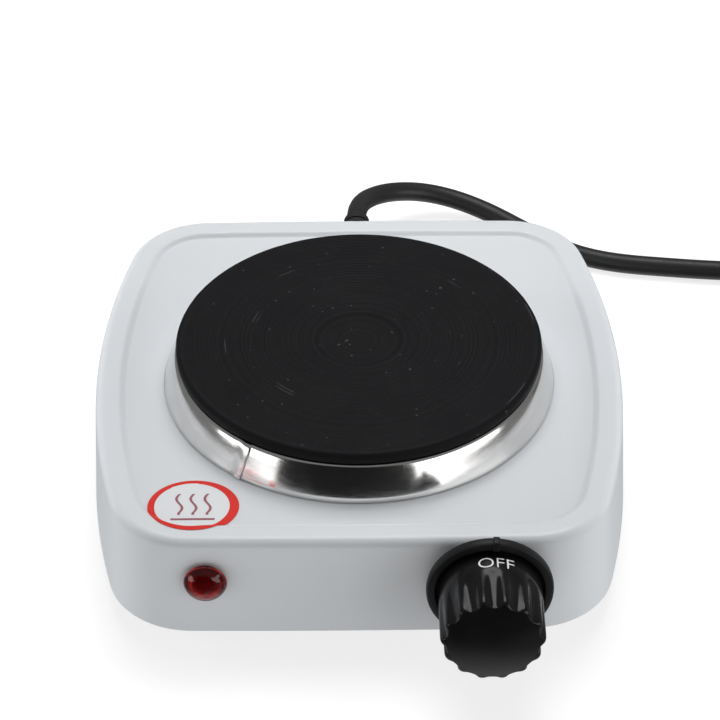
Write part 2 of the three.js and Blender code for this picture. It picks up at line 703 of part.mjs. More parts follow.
add('strain_relief', strainRelief(), blackRubber);
add('power_cord', tube(CORD_ROUTE, CORD_RADIUS, 10, 36), cordPvc, hotPlate);
add('cord_coil', cordCoil(), cordPvc, hotPlate);
add('cord_end', tube(CORD_END_ROUTE, CORD_RADIUS, 10, 6), cordPvc, hotPlate);
add('cord_tie', cordTie(), blackPlastic, hotPlate);
add('plug_body', plugBody(), cordPvc, hotPlate);
add('plug_blade_left', plugBlade(1), brass, hotPlate);
add('plug_blade_right', plugBlade(-1), brass, hotPlate);
add('plug_earth_pin', plugEarthPin(), brass, hotPlate);

export default hotPlate;
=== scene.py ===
"""An electric hot plate: enamelled casing, cast plate, polished trim ring, knob, lamp and lead."""

import json
import math

import bmesh
import bpy
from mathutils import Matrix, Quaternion, Vector
from mathutils.geometry import intersect_sphere_sphere_2d


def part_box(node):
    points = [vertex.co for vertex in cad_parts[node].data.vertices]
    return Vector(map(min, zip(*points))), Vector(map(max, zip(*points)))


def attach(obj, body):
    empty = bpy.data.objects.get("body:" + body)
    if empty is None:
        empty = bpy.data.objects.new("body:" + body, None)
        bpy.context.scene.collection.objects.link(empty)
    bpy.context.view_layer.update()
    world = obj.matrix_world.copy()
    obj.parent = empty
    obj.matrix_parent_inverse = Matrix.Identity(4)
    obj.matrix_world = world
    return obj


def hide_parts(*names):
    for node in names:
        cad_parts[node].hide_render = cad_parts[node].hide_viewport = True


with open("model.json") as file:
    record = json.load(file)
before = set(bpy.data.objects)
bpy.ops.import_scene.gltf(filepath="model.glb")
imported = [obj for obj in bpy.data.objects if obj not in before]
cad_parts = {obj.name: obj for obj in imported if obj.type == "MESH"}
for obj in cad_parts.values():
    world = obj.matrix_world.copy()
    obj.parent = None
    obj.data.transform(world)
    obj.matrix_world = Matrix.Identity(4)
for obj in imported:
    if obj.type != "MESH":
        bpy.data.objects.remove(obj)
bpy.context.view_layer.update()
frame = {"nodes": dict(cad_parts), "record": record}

MM = 0.001


def edges(node):
    """A CAD node's lowest and highest corners, in millimetres."""
    return [[round(value / MM, 2) for value in corner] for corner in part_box(node)]


def centre_of(node):
    """The middle of a CAD node's box, in millimetres."""
    return [round((low + high) / 2, 2) for low, high in zip(*edges(node))]


# Sizes are in millimetres. Where a CAD node has a place or a size, it comes from that node.
CASING_BOTTOM = edges("housing")[0][2]
CASING_TOP = edges("housing")[1][2]
WALL_DRAFT = 1.5
SHIFT_Y = centre_of("housing")[1]  # the casing's centre, along Y from the origin
HALF_WIDTH = edges("housing")[1][0] - WALL_DRAFT
HALF_DEPTH = edges("housing")[1][1] - SHIFT_Y - WALL_DRAFT
SIDE_BULGE = 12
FRONT_BULGE = 1
CORNER_RADIUS = 22
SIDE_STEPS, CORNER_STEPS, FRONT_STEPS = 12, 14, 8  # of a quarter of the outline
SHEET = 0.8
TOP_FILLET = 2.4
BORDER = 6.6
PANEL_SLOPE = 2.2
PANEL_STEP = 1.15
SEAT_RADIUS = 58
SEAT_FOOT = SEAT_RADIUS + 1.6
SEAT_RISE = 0.35
OPENING_RADIUS = 46.5
LAMP_HOLE, BUSH_HOLE, CORD_HOLE = 4.95, 4.75, 4.9  # radii
VENT_X = 31
VENT_PITCH = 9
FOOT_X, FOOT_REAR = centre_of("foot_rear_right")[:2]
FOOT_Y = FOOT_REAR - SHIFT_Y

PLATE_Y = centre_of("heating_plate")[1]
PLATE_RADIUS = edges("heating_plate")[1][0]
GROOVE_PITCH = 0.75
RING_SEAM = 37.3  # degrees from the front
SEAM_SLANT = 1.4  # degrees
RING_DROP = 8.05

KNOB_X, _, CONTROL_Z = centre_of("knob")
KNOB_AXIS = Vector((KNOB_X, 0, CONTROL_Z))
KNOB_REAR = edges("knob")[1][1]
KNOB_RADIUS = 13.5
RIB_COUNT = 14
# How far each column of a rib's eight sinks, counted from the rib's middle outwards.
FLUTE_SHAPE = ((1, 0.05), (2, 0.6), (3, 1.0), (4, 1.03))
BEZEL_RADIUS = CONTROL_Z - edges("knob_bezel")[0][2]
BEZEL_DEPTH = 4.1
BEZEL_TURN = math.radians(4.5)
LAMP_X = centre_of("indicator_lens")[0]
STICKER = (-43.7, -44.8)

RELIEF_END = edges("strain_relief")[1][1]
CORD_EXIT_Z = centre_of("strain_relief")[2]
CORD_RADIUS = 3
# The lead's route: from the casing to its coil, and from the coil to its plug.
CORD_ROUTE = [
    (0, 109.9, 19), (0, 113, 18.9), (0.5, 118.5, 17.9), (3, 127, 15.2), (9.6, 135.4, 12),
    (20, 140.6, 8.8), (31.5, 140.2, 6), (42.5, 135, 4.1), (52, 126.8, 3.2),
    (61, 118.4, 3.05), (70.5, 111.6, 3.05), (82, 107.8, 3.05), (94, 106.1, 3.05),
    (107, 104.2, 3.1), (120, 102.7, 3.4), (132, 102, 3.8), (143.6, 101.8, 3.9),
]
CORD_END_ROUTE = [(192.6, 101.6, 9.8), (197, 101, 10.8), (202, 100.2, 12.4), (206.5, 100, 13)]
COIL_CENTRE = centre_of("cord_coil")[:2]
COIL_RADIUS = 33
COIL_TURNS = 4
COIL_REST = 3.9  # height of the lowest turn's middle, on its tie
PLUG = (edges("plug_body")[0][0], *centre_of("plug_body")[1:])


def mm(*values):
    """Millimetres as a vector, or a single length, in metres."""
    return Vector(values) * MM if len(values) > 1 else values[0] * MM


def ease(t):
    """An S-shaped rise from 0 to 1."""
    t = min(1, max(0, t))
    return t * t * (3 - 2 * t)


# ------------------------------------------------------------------ camera and light

def camera():
    """The viewer stands in front and looks down at the plate with a long lens."""
    place = mm(-3.2, -598.7, 514.5)
    target = mm(0.35, 18.5, 35.3)
    roll = math.radians(-0.27)
    data = bpy.data.cameras.new("camera")
    data.lens, data.sensor_width, data.clip_start = 140, 36, 0.01
    viewer = bpy.data.objects.new("camera", data)
    viewer.location = place
    aim = (target - place).to_track_quat("-Z", "Y") @ Quaternion((0, 0, 1), roll)
    viewer.rotation_euler = aim.to_euler()
    bpy.context.collection.objects.link(viewer)
    bpy.context.scene.camera = viewer


def soft_light(name, place, target, width, height, watts, mirrored=True):
    """A rectangular lamp in metres, which the camera never sees and gloss may not either."""
    data = bpy.data.lights.new(name, "AREA")
    data.shape, data.size, data.size_y = "RECTANGLE", width, height
    data.energy = watts
    light = bpy.data.objects.new(name, data)
    light.location = place
    light.rotation_euler = (Vector(target) - Vector(place)).to_track_quat("-Z", "Y").to_euler()
    bpy.context.collection.objects.link(light)
    light.visible_camera = False
    light.visible_glossy = mirrored


def spread(tree, value, low, high, bottom, top):
    """A clamped map of one range of values onto another."""
    made = tree.nodes.new("ShaderNodeMapRange")
    for key, number in (("From Min", low), ("From Max", high), ("To Min", bottom), ("To Max", top)):
        made.inputs[key].default_value = number
    tree.links.new(value, made.inputs["Value"])
    return made.outputs["Result"]


def lighting():
    """A soft box behind, one overhead, and a low panel and a fill on each side."""
    soft_light("back_box", (0.04, 0.343, 0.722), (0, 0, 0.03), 0.42, 0.384, 1.7)
    soft_light("overhead", (0, 0.2, 0.55), (0, 0.05, 0.03), 0.45, 0.35, 1.85, mirrored=False)
    soft_light("left_panel", (-0.67, -0.33, 0.09), (0, 0, 0.08), 0.52, 0.22, 0.7)
    soft_light("right_panel", (0.62, -0.42, 0.17), (0, 0, 0.08), 0.75, 0.4, 1.8)
    soft_light("left_fill", (-0.6, 0.22, 0.12), (0, 0, 0.03), 0.16, 0.2, 1.6, mirrored=False)
    soft_light("right_fill", (0.6, 0.2, 0.12), (0, 0, 0.03), 0.16, 0.2, 0.9, mirrored=False)


def tent():
    """A pale surround that is dark where the viewer stands and bright straight below."""
    world = bpy.data.worlds.new("tent")
    bpy.context.scene.world = world
    world.use_nodes = True
    tree = world.node_tree
    tree.nodes.clear()
    way = tree.nodes.new("ShaderNodeTexCoord")
    forward = tree.nodes.new("ShaderNodeVectorMath")
    forward.operation = "DOT_PRODUCT"
    forward.inputs[1].default_value = (-0.113, -0.994, 0)
    opening = spread(tree, forward.outputs["Value"], 0.66, 0.78, 0.23, 0.015)
    axes = tree.nodes.new("ShaderNodeSeparateXYZ")
    tree.links.new(way.outputs["Generated"], axes.inputs[0])
    below = spread(tree, axes.outputs["Z"], -0.95, -0.72, 0.9, 0)
    total = tree.nodes.new("ShaderNodeMath")
    total.operation = "ADD"
    tree.links.new(opening, total.inputs[0])
    tree.links.new(below, total.inputs[1])
    back = tree.nodes.new("ShaderNodeBackground")
    out = tree.nodes.new("ShaderNodeOutputWorld")
    tree.links.new(way.outputs["Generated"], forward.inputs[0])
    tree.links.new(total.outputs[0], back.inputs["Strength"])
    tree.links.new(back.outputs[0], out.inputs[0])
    bpy.context.scene.view_settings.view_transform = "Standard"


# ------------------------------------------------------------------ modelling helpers

def enter(piece):
    """Edit mode on one object, with everything in it deselected."""
    if bpy.context.mode != "OBJECT":
        bpy.ops.object.mode_set(mode="OBJECT")
    bpy.ops.object.select_all(action="DESELECT")
    piece.select_set(True)
    bpy.context.view_layer.objects.active = piece
    bpy.ops.object.mode_set(mode="EDIT")
    bpy.ops.mesh.select_mode(type="VERT")
    bpy.ops.mesh.select_all(action="DESELECT")


def leave():
    """Back to object mode."""
    bpy.ops.object.mode_set(mode="OBJECT")


def begin(primitive, name, scale=(1, 1, 1), **settings):
    """Adds a primitive, names it, applies its place and opens it for editing, all selected."""
    bpy.ops.object.select_all(action="DESELECT")
    primitive(**settings)
    piece = bpy.context.object
    piece.name, piece.scale = name, scale
    bpy.ops.object.transform_apply(location=True, rotation=True, scale=True)
    enter(piece)
    bpy.ops.mesh.select_all(action="SELECT")
    return piece


def pick(piece, test, kind="VERT"):
    """Selects just the vertices, edges or faces whose middle, in millimetres, passes the test."""
    bpy.ops.mesh.select_mode(type=kind)
    shape = bmesh.from_edit_mesh(piece.data)
    parts = {"VERT": shape.verts, "EDGE": shape.edges, "FACE": shape.faces}[kind]
    for part in parts:
        middle = part.co if kind == "VERT" else (
            part.calc_center_median() if kind == "FACE"
            else (part.verts[0].co + part.verts[1].co) / 2)
        part.select_set(bool(test(middle / MM)))
    shape.select_flush_mode()
    bmesh.update_edit_mesh(piece.data)


def pull(x, y, z):
    """Extrudes the selected faces by that much, in millimetres."""
    bpy.ops.mesh.extrude_region_move(TRANSFORM_OT_translate={"value": mm(x, y, z)})


def pull_edges(x, y, z):
    """Extrudes the selected edges by that much, in millimetres."""
    bpy.ops.mesh.extrude_edges_move(TRANSFORM_OT_translate={"value": mm(x, y, z)})


def modify(piece, kind, **settings):
    """Adds a modifier, sets it and applies it."""
    bpy.context.view_layer.objects.active = piece
    modifier = piece.modifiers.new(kind.lower(), kind)
    for key, value in settings.items():
        setattr(modifier, key, value)
    bpy.ops.object.modifier_apply(modifier=modifier.name)


def close_up(piece):
    """Merges doubles and turns every face outwards."""
    enter(piece)
    bpy.ops.mesh.select_all(action="SELECT")
    bpy.ops.mesh.remove_doubles(threshold=mm(0.01))
    bpy.ops.mesh.normals_make_consistent(inside=False)
    leave()


def fit(piece, body, slot, nodes=(), smooth=30):
    """Shades, finishes and places a finished piece: it rides on a body and stands for CAD nodes."""
    if bpy.context.mode != "OBJECT":
        leave()
    bpy.ops.object.select_all(action="DESELECT")
    piece.select_set(True)
    bpy.context.view_layer.objects.active = piece
    if piece.type == "MESH":
        bpy.ops.object.shade_smooth_by_angle(angle=math.radians(smooth))
    if not piece.data.materials:
        piece.data.materials.append(FINISHES[slot])
    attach(piece, body)
    if nodes:
        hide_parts(*nodes)
    return piece


def lathe(name, profile, centre, axis="Z", steps=96, turn=2 * math.pi, start=0.0):
    """One vertex, extruded along a profile of (radius, along) and spun about an axis."""
    along = {"Y": Vector((0, 1, 0)), "Z": Vector((0, 0, 1))}[axis]
    outward = Vector((1, 0, 0)) if axis == "Z" else Vector((0, 0, 1))
    outward = Quaternion(along, start) @ outward
    points = [(centre + outward * r + along * a) * MM for r, a in profile]
    piece = begin(bpy.ops.mesh.primitive_plane_add, name, size=MM, location=points[0])
    bpy.ops.mesh.merge(type="CENTER")
    for here, there in zip(points, points[1:]):
        bpy.ops.mesh.extrude_vertices_move(TRANSFORM_OT_translate={"value": there - here})
    bpy.ops.mesh.select_all(action="SELECT")
    bpy.ops.mesh.spin(steps=steps, angle=turn, center=centre * MM, axis=-along)
    leave()
    close_up(piece)
    return piece


# ------------------------------------------------------------------ finishes

class Finish:
    """A node material on a Principled shader, with short ways to add patterns to it."""

    def __init__(self, name, colour, roughness, **sockets):
        self.material = bpy.data.materials.new(name)
        self.material.use_nodes = True
        self.tree = self.material.node_tree
        self.shader = self.tree.nodes["Principled BSDF"]
        self.material.diffuse_color = (*colour, 1)
        self.place = self.node("ShaderNodeTexCoord").outputs["Object"]
        self.set("Base Color", (*colour, 1))
        self.set("Roughness", roughness)
        for key, value in sockets.items():
            self.set(key.replace("_", " ").title().replace("Ior", "IOR"), value)

    def node(self, kind, **settings):
        made = self.tree.nodes.new(kind)
        for key, value in settings.items():
            setattr(made, key, value)
        return made

    def set(self, socket, value):
        target = self.shader.inputs[socket]
        if isinstance(value, bpy.types.NodeSocket):
            self.tree.links.new(value, target)
        else:
            target.default_value = value

    def feed(self, made, **inputs):
        """Links sockets or sets values on a node's inputs, by name."""
        for key, value in inputs.items():
            target = made.inputs[key.replace("_", " ")]
            if isinstance(value, bpy.types.NodeSocket):
                self.tree.links.new(value, target)
            else:
                target.default_value = value
        return made

    def noise(self, scale, detail=4, rough=0.55, stretch=(1, 1, 1), source=None):
        mapping = self.feed(self.node("ShaderNodeMapping"), Vector=source or self.place,
                            Scale=stretch)
        return self.feed(self.node("ShaderNodeTexNoise"), Vector=mapping.outputs[0],
                         Scale=scale, Detail=detail, Roughness=rough).outputs["Fac"]

    def ramp(self, factor, *stops):
        """A colour ramp; each stop is (position, grey or colour)."""
        made = self.feed(self.node("ShaderNodeValToRGB"), Fac=factor)
        bar = made.color_ramp.elements
        while len(bar) < len(stops):
            bar.new(0.5)
        for element, (position, tone) in zip(bar, stops):
            element.position = position
            element.color = (*tone, 1) if isinstance(tone, tuple) else (tone, tone, tone, 1)
        return made.outputs["Color"]

    def level(self, factor, low, high, bottom=0.0, top=1.0):
        """Maps a range of values onto another, clamped."""
        return spread(self.tree, factor, low, high, bottom, top)

    def maths(self, operation, first, second=0.0):
        made = self.node("ShaderNodeMath", operation=operation)
        for target, value in zip(made.inputs, (first, second)):
            if isinstance(value, bpy.types.NodeSocket):
                self.tree.links.new(value, target)
            else:
                target.default_value = value
        return made.outputs[0]

    def mix(self, factor, first, second):
        """Mixes two colours, each a tuple or a socket."""
        made = self.node("ShaderNodeMix", data_type="RGBA")
        for target, value in ((made.inputs["Factor"], factor), (made.inputs["A"], first),
                              (made.inputs["B"], second)):
            if isinstance(value, bpy.types.NodeSocket):
                self.tree.links.new(value, target)
            else:
                target.default_value = (*value, 1) if isinstance(value, tuple) else value
        return next(o for o in made.outputs if o.type == "RGBA")

    def bump(self, height, depth, strength=1.0, under=None):
        """A bump of that depth in millimetres, over another one if given."""
        made = self.feed(self.node("ShaderNodeBump"), Height=height, Distance=depth * MM,
                         Strength=strength)
        if under:
            self.tree.links.new(under, made.inputs["Normal"])
        self.set("Normal", made.outputs[0])
        return made.outputs[0]


def mottled(name, colour, roughness, grain=600, depth=0.015, dark=0.85, **sockets):
    """Shared by the simple finishes: a mottled colour, uneven gloss and a fine grain."""
    f = Finish(name, colour, roughness, **sockets)
    cloud = f.noise(grain / 12)
    fine = f.noise(grain)
    darker = tuple(dark * c for c in colour)
    f.set("Base Color", f.mix(f.level(cloud, 0.35, 0.65), darker, colour))
    f.set("Roughness", f.level(fine, 0.3, 0.7, 0.85 * roughness, min(1, 1.15 * roughness)))
    f.bump(fine, depth)
    return f.material


def enamel():
    """Baked white enamel over pressed sheet: faint orange peel and the odd speck of dust."""
    f = Finish("enamel", (0.7, 0.725, 0.75), 0.31, specular_ior_level=0.36)
    specks = f.level(f.noise(1300, 1), 0.78, 0.82)
    tone = f.mix(f.noise(9, 1), (0.655, 0.684, 0.713), (0.679, 0.698, 0.717))
    f.set("Base Color", f.mix(f.maths("MULTIPLY", specks, 0.3), tone, (0.4, 0.4, 0.4)))
    f.set("Roughness", f.level(f.noise(30, 1), 0.2, 0.8, 0.285, 0.33))
    f.bump(f.noise(520, 2, 0.4), 0.012, 0.4)
    return f.material


def polar(f, centre_x, centre_y):
    """Distance from an upright axis, height, and place across and behind it, as sockets."""
    axes = f.feed(f.node("ShaderNodeSeparateXYZ"), Vector=f.place).outputs
    across = f.maths("SUBTRACT", axes[0], centre_x * MM)
    back = f.maths("SUBTRACT", axes[1], centre_y * MM)
    square = f.maths("ADD", f.maths("MULTIPLY", across, across), f.maths("MULTIPLY", back, back))
    return f.maths("SQRT", square), axes[2], across, back


def rings(f, radius, scale, detail=2):
    """Noise that only changes with the distance from the axis."""
    place = f.feed(f.node("ShaderNodeCombineXYZ"), X=radius).outputs[0]
    return f.noise(scale, detail, source=place)


def cast_plate_coat():
    """Matt black heat-proof coat on turned iron: ring marks, worn arcs and pale specks."""
    f = Finish("cast_plate", (0.009, 0.009, 0.0098), 0.5, specular_ior_level=0.08)
    radius = polar(f, 0, PLATE_Y)[0]
    turning = rings(f, radius, 1800)
    arcs = f.level(rings(f, radius, 1900, 0), 0.7, 0.76)
    patches = f.level(f.noise(75, 1), 0.66, 0.72)
    scuffs = f.maths("MULTIPLY", arcs, patches)
    specks = f.level(f.noise(760, 0), 0.82, 0.86)
    worn = f.maths("MAXIMUM", scuffs, f.maths("MULTIPLY", specks, 0.45))
    base = f.mix(f.level(turning, 0.35, 0.65), (0.006, 0.006, 0.0068), (0.012, 0.012, 0.0134))
    f.set("Base Color", f.mix(worn, base, (0.12, 0.12, 0.125)))
    f.set("Roughness", f.level(f.noise(90, 4), 0.3, 0.7, 0.5, 0.64))
    grain = f.bump(f.noise(2600, 2), 0.012, 0.5)
    f.bump(turning, 0.02, 0.6, grain)
    return f.material


def polished():
    """Polished stainless sheet: drawn lines round the band, faint smears and slow waves."""
    f = Finish("polished_steel", (0.8, 0.79, 0.775), 0.08, metallic=1)
    height, across, back = polar(f, 0, PLATE_Y)[1:]
    drawn = f.feed(f.node("ShaderNodeCombineXYZ"), X=f.maths("MULTIPLY", across, 0.12),
                   Y=f.maths("MULTIPLY", back, 0.12), Z=height).outputs[0]
    lines = f.noise(2600, 3, source=drawn)
    smears = f.noise(70, 4)
    f.set("Base Color", f.mix(f.level(smears, 0.4, 0.75), (0.81, 0.8, 0.785), (0.72, 0.71, 0.7)))
    f.set("Roughness", f.level(f.maths("ADD", lines, smears), 0.7, 1.4, 0.1, 0.2))
    waves = f.bump(f.noise(45, 1), 0.09, 0.5)
    f.bump(lines, 0.004, 0.25, waves)
    return f.material


def zinc():
    """Zinc-plated steel with a faint spangle."""
    f = Finish("zinc_steel", (0.5, 0.51, 0.53), 0.38, metallic=1)
    spangle = f.feed(f.node("ShaderNodeTexVoronoi"), Vector=f.place, Scale=260.0).outputs["Color"]
    grey = f.feed(f.node("ShaderNodeRGBToBW"), Color=spangle).outputs[0]
    f.set("Base Color", f.mix(grey, (0.44, 0.45, 0.47), (0.58, 0.59, 0.61)))
    f.set("Roughness", f.level(f.maths("ADD", grey, f.noise(700)), 0.4, 1.5, 0.3, 0.5))
    f.bump(f.noise(900), 0.01)
    return f.material


def sleeve():
    """Woven glass sleeve: two crossing waves of yarn."""
    f = Finish("wire_sleeve", (0.55, 0.42, 0.16), 0.65)
    yarns = []
    for tilt in (0.9, -0.9):
        turned = f.feed(f.node("ShaderNodeMapping"), Vector=f.place, Rotation=(0.6, 0.3, tilt))
        yarns.append(f.feed(f.node("ShaderNodeTexWave"), Vector=turned.outputs[0],
                            Scale=420.0).outputs["Fac"])
    weave = f.maths("MAXIMUM", *yarns)
    f.set("Base Color", f.mix(weave, (0.36, 0.27, 0.1), (0.62, 0.5, 0.24)))
    f.bump(weave, 0.08)
    return f.material


def fibre():
    """Pressed mineral fibre: long pale strands over a darker mat."""
    f = Finish("mineral_fibre", (0.5, 0.47, 0.38), 0.95)
    strands = f.noise(420, 6, 0.7, stretch=(1, 5, 2))
    f.set("Base Color", f.ramp(strands, (0.3, (0.33, 0.3, 0.23)), (0.7, (0.62, 0.59, 0.5))))
    f.bump(strands, 0.25)
    return f.material


def glossy_black():
    """Moulded phenolic plastic: deep gloss with faint flow lines and handling marks."""
    f = Finish("black_plastic", (0.006, 0.006, 0.0065), 0.16, specular_ior_level=0.3)
    flow = f.noise(240, 4, stretch=(1, 0.25, 1))
    f.set("Base Color", f.mix(flow, (0.0045, 0.0045, 0.005), (0.008, 0.008, 0.009)))
    f.set("Roughness", f.level(f.noise(130, 5), 0.35, 0.75, 0.11, 0.26))
    f.bump(f.noise(420, 2), 0.012, 0.5)
    return f.material


def red_glass():
    """Clear red moulded plastic with small facets on its inside."""
    f = Finish("red_lens", (0.34, 0.005, 0.008), 0.05, transmission_weight=0.88, ior=1.5,
               specular_ior_level=0.3)
    f.set("Roughness", f.level(f.noise(300, 3), 0.3, 0.7, 0.03, 0.1))
    f.set("Base Color", f.mix(f.noise(500, 2), (0.26, 0.004, 0.006), (0.42, 0.007, 0.011)))
    cells = f.feed(f.node("ShaderNodeTexVoronoi"), Vector=f.place, Scale=620.0)
    f.bump(cells.outputs["Distance"], 0.16, 0.5)
    return f.material


FINISHES = {
    "enamel": enamel(),
    "cast_plate": cast_plate_coat(),
    "polished_steel": polished(),
    "zinc_steel": zinc(),
    "brass": mottled("brass", (0.6, 0.42, 0.18), 0.33, metallic=1),
    "black_plastic": glossy_black(),
    "matt_plastic": mottled("matt_plastic", (0.012, 0.012, 0.013), 0.45, 1800, 0.02,
                            specular_ior_level=0.3),
    "red_lens": red_glass(),
    "red_prism": mottled("red_prism", (0.22, 0.004, 0.006), 0.12, 300, 0.01),
    "lamp_glass": mottled("lamp_glass", (0.85, 0.75, 0.68), 0.08, 300, 0.005,
                          transmission_weight=0.8),
    "black_rubber": mottled("black_rubber", (0.014, 0.014, 0.015), 0.68, 1400, 0.03),
    "ceramic": mottled("ceramic", (0.66, 0.62, 0.54), 0.6, 900, 0.03),
    "mineral_fibre": fibre(),
    "cord_pvc": mottled("cord_pvc", (0.015, 0.015, 0.016), 0.42, 900, 0.02),
    "wire_sleeve": sleeve(),
    "sticker_film": mottled("sticker_film", (0.72, 0.735, 0.755), 0.35, 400, 0.004, 0.97),
    "sticker_red": mottled("sticker_red", (0.68, 0.022, 0.014), 0.4, 500, 0.006, 0.9,
                           specular_ior_level=0.25),
    "sticker_ink": mottled("sticker_ink", (0.3, 0.1, 0.12), 0.45, 500, 0.006, 0.9),
    "white_print": mottled("white_print", (0.8, 0.8, 0.8), 0.45, 900, 0.01, 0.93),
}


# ------------------------------------------------------------------ lead

def coil_points():
    """Two turns inwards on the table, then two outwards on top of them."""
    points = []
    steps_per_turn = 16
    count = COIL_TURNS * steps_per_turn
    for step in range(count + 1):
        turns = step / steps_per_turn
        angle = 2 * math.pi * turns - math.pi / 2
        inwards = min(turns, COIL_TURNS - turns) / (COIL_TURNS / 2)
        radius = COIL_RADIUS + CORD_RADIUS - 2 * CORD_RADIUS * ease(inwards * 2 - 0.5)
        rise = 2 * CORD_RADIUS * ease((turns - COIL_TURNS / 2) * 2 + 0.5)
        points.append((COIL_CENTRE[0] + radius * math.cos(angle),
                       COIL_CENTRE[1] + radius * math.sin(angle), COIL_REST + rise))
    return points


def lead(pieces):
    """The whole lead as one curve, from the strain relief through its coil to the plug."""
    route = CORD_ROUTE + coil_points()[1:] + CORD_END_ROUTE[1:]
    data = bpy.data.curves.new("lead", "CURVE")
    data.dimensions = "3D"
    spline = data.splines.new("NURBS")
    spline.points.add(len(route) - 1)
    for point, place in zip(spline.points, route):
        point.co = (*mm(*place), 1)
    spline.order_u, spline.use_endpoint_u, spline.resolution_u = 4, True, 6
    data.bevel_depth, data.bevel_resolution, data.use_fill_caps = mm(CORD_RADIUS), 8, True
    piece = bpy.data.objects.new("lead", data)
    bpy.context.collection.objects.link(piece)
    fit(piece, "casing", "cord_pvc", ("power_cord", "cord_coil", "cord_end"))


# ------------------------------------------------------------------ casing

def arc_centres():
    """The middles of the side, corner and front arcs of the plan outline."""
    side_radius = (HALF_DEPTH ** 2 + SIDE_BULGE ** 2) / (2 * SIDE_BULGE)
    front_radius = (HALF_WIDTH ** 2 + FRONT_BULGE ** 2) / (2 * FRONT_BULGE)
    side = Vector((HALF_WIDTH - side_radius, 0))
    front = Vector((0, HALF_DEPTH - front_radius))
    meets = intersect_sphere_sphere_2d(side, side_radius - CORNER_RADIUS,
                                       front, front_radius - CORNER_RADIUS)
    return side, max(meets, key=lambda point: point.y), front


def casing_outline(name, inset, height):
    """The plan outline as a face: a quarter of it is one vertex spun along three arcs."""
    side, corner, front = arc_centres()
    side_end = math.atan2(corner.y, corner.x - side.x)
    front_start = math.atan2(corner.y - front.y, corner.x)
    piece = begin(bpy.ops.mesh.primitive_plane_add, name, size=MM,
                  location=mm(HALF_WIDTH - inset, 0, height))
    bpy.ops.mesh.merge(type="CENTER")
    arcs = ((side, side_end, SIDE_STEPS), (corner, front_start - side_end, CORNER_STEPS),
            (front, math.pi / 2 - front_start, FRONT_STEPS))
    for centre, turn, steps in arcs:
        bpy.ops.mesh.spin(steps=steps, angle=turn, center=mm(centre.x, centre.y, height),
                          axis=(0, 0, -1))
    leave()
    modify(piece, "MIRROR", use_axis=(True, True, False), merge_threshold=mm(0.01))
    enter(piece)
    bpy.ops.mesh.select_all(action="SELECT")
    bpy.ops.transform.translate(value=mm(0, SHIFT_Y, 0))
    bpy.ops.mesh.edge_face_add()
    bpy.ops.mesh.normals_make_consistent(inside=False)
    pick(piece, lambda at: True, "FACE")
    return piece


def step_in(*steps):
    """Insets the selected face again and again: each step is (inwards, up) in millimetres."""
    for inwards, up in steps:
        bpy.ops.mesh.inset(thickness=mm(inwards), depth=mm(up))


def rounded(radius, count):
    """Inset steps round a quarter circle, from upright to level."""
    angles = [math.pi / 2 * k / count for k in range(count + 1)]
    return [(radius * (math.cos(a) - math.cos(b)), radius * (math.sin(b) - math.sin(a)))
            for a, b in zip(angles, angles[1:])]


def sloped(width, rise, count):
    """Inset steps down or up a soft S-shaped slope."""
    heights = [rise * ease(k / count) for k in range(count + 1)]
    return [(width / count, b - a) for a, b in zip(heights, heights[1:])]


def drill(piece, place, radius):
    """A round hole through the piece, along Y."""
    bpy.ops.object.select_all(action="DESELECT")
    bpy.ops.mesh.primitive_cylinder_add(vertices=48, radius=mm(radius), depth=mm(8),
                                        location=place, rotation=(math.pi / 2, 0, 0))
    carve(piece, bpy.context.object)


def carve(piece, tool):
    """Takes the tool's shape out of the piece and throws the tool away."""
    modify(piece, "BOOLEAN", object=tool, operation="DIFFERENCE", solver="EXACT")
    bpy.data.objects.remove(tool)


def casing():
    """The pressed casing: one outline stepped up the wall, over the edge and into the panel."""
    wall = CASING_TOP - TOP_FILLET - CASING_BOTTOM
    piece = casing_outline("casing", -WALL_DRAFT, CASING_BOTTOM)
    step_in((0.06, 1), (WALL_DRAFT - 0.12, wall - 2), (0.06, 1), *rounded(TOP_FILLET, 8))
    step_in((0.5, 0), (BORDER - TOP_FILLET - 1.2, 0), (0.4, 0))
    step_in(*sloped(PANEL_SLOPE, -PANEL_STEP, 8))
    bpy.ops.mesh.delete(type="ONLY_FACE")
    panel = CASING_TOP - PANEL_STEP
    middle = Vector((0, PLATE_Y, panel))
    around = 4 * (SIDE_STEPS + CORNER_STEPS + FRONT_STEPS)
    bpy.ops.mesh.primitive_circle_add(vertices=around, radius=mm(SEAT_FOOT),
                                      location=middle * MM)
    pick(piece, lambda at: abs(at.z - panel) < 0.02, "EDGE")
    bpy.ops.mesh.bridge_edge_loops()
    pick(piece, lambda at: abs((at - middle).length - SEAT_FOOT) < 0.1
         and abs(at.z - panel) < 0.02, "EDGE")
    bpy.ops.mesh.edge_face_add()
    bpy.ops.mesh.select_all(action="SELECT")
    bpy.ops.mesh.normals_make_consistent(inside=False)
    pick(piece, lambda at: (at - middle).length < 1, "FACE")
    step_in(*sloped(4.4, SEAT_RISE, 10))
    step_in((0.5, 0), (SEAT_RADIUS - OPENING_RADIUS - 4.7, 0), (0.6, -0.15), (0.3, -0.5),
            (0.05, -0.6))
    bpy.ops.mesh.delete(type="FACE")
    leave()
    modify(piece, "SOLIDIFY", thickness=mm(SHEET), offset=-1, use_even_offset=True)
    front = SHIFT_Y - HALF_DEPTH - 1
    drill(piece, mm(LAMP_X, front, CONTROL_Z), LAMP_HOLE)
    drill(piece, mm(KNOB_X, front, CONTROL_Z), BUSH_HOLE)
    drill(piece, mm(0, SHIFT_Y + HALF_DEPTH + 1, CORD_EXIT_Z), CORD_HOLE)
    return fit(piece, "casing", "enamel", ("housing",))


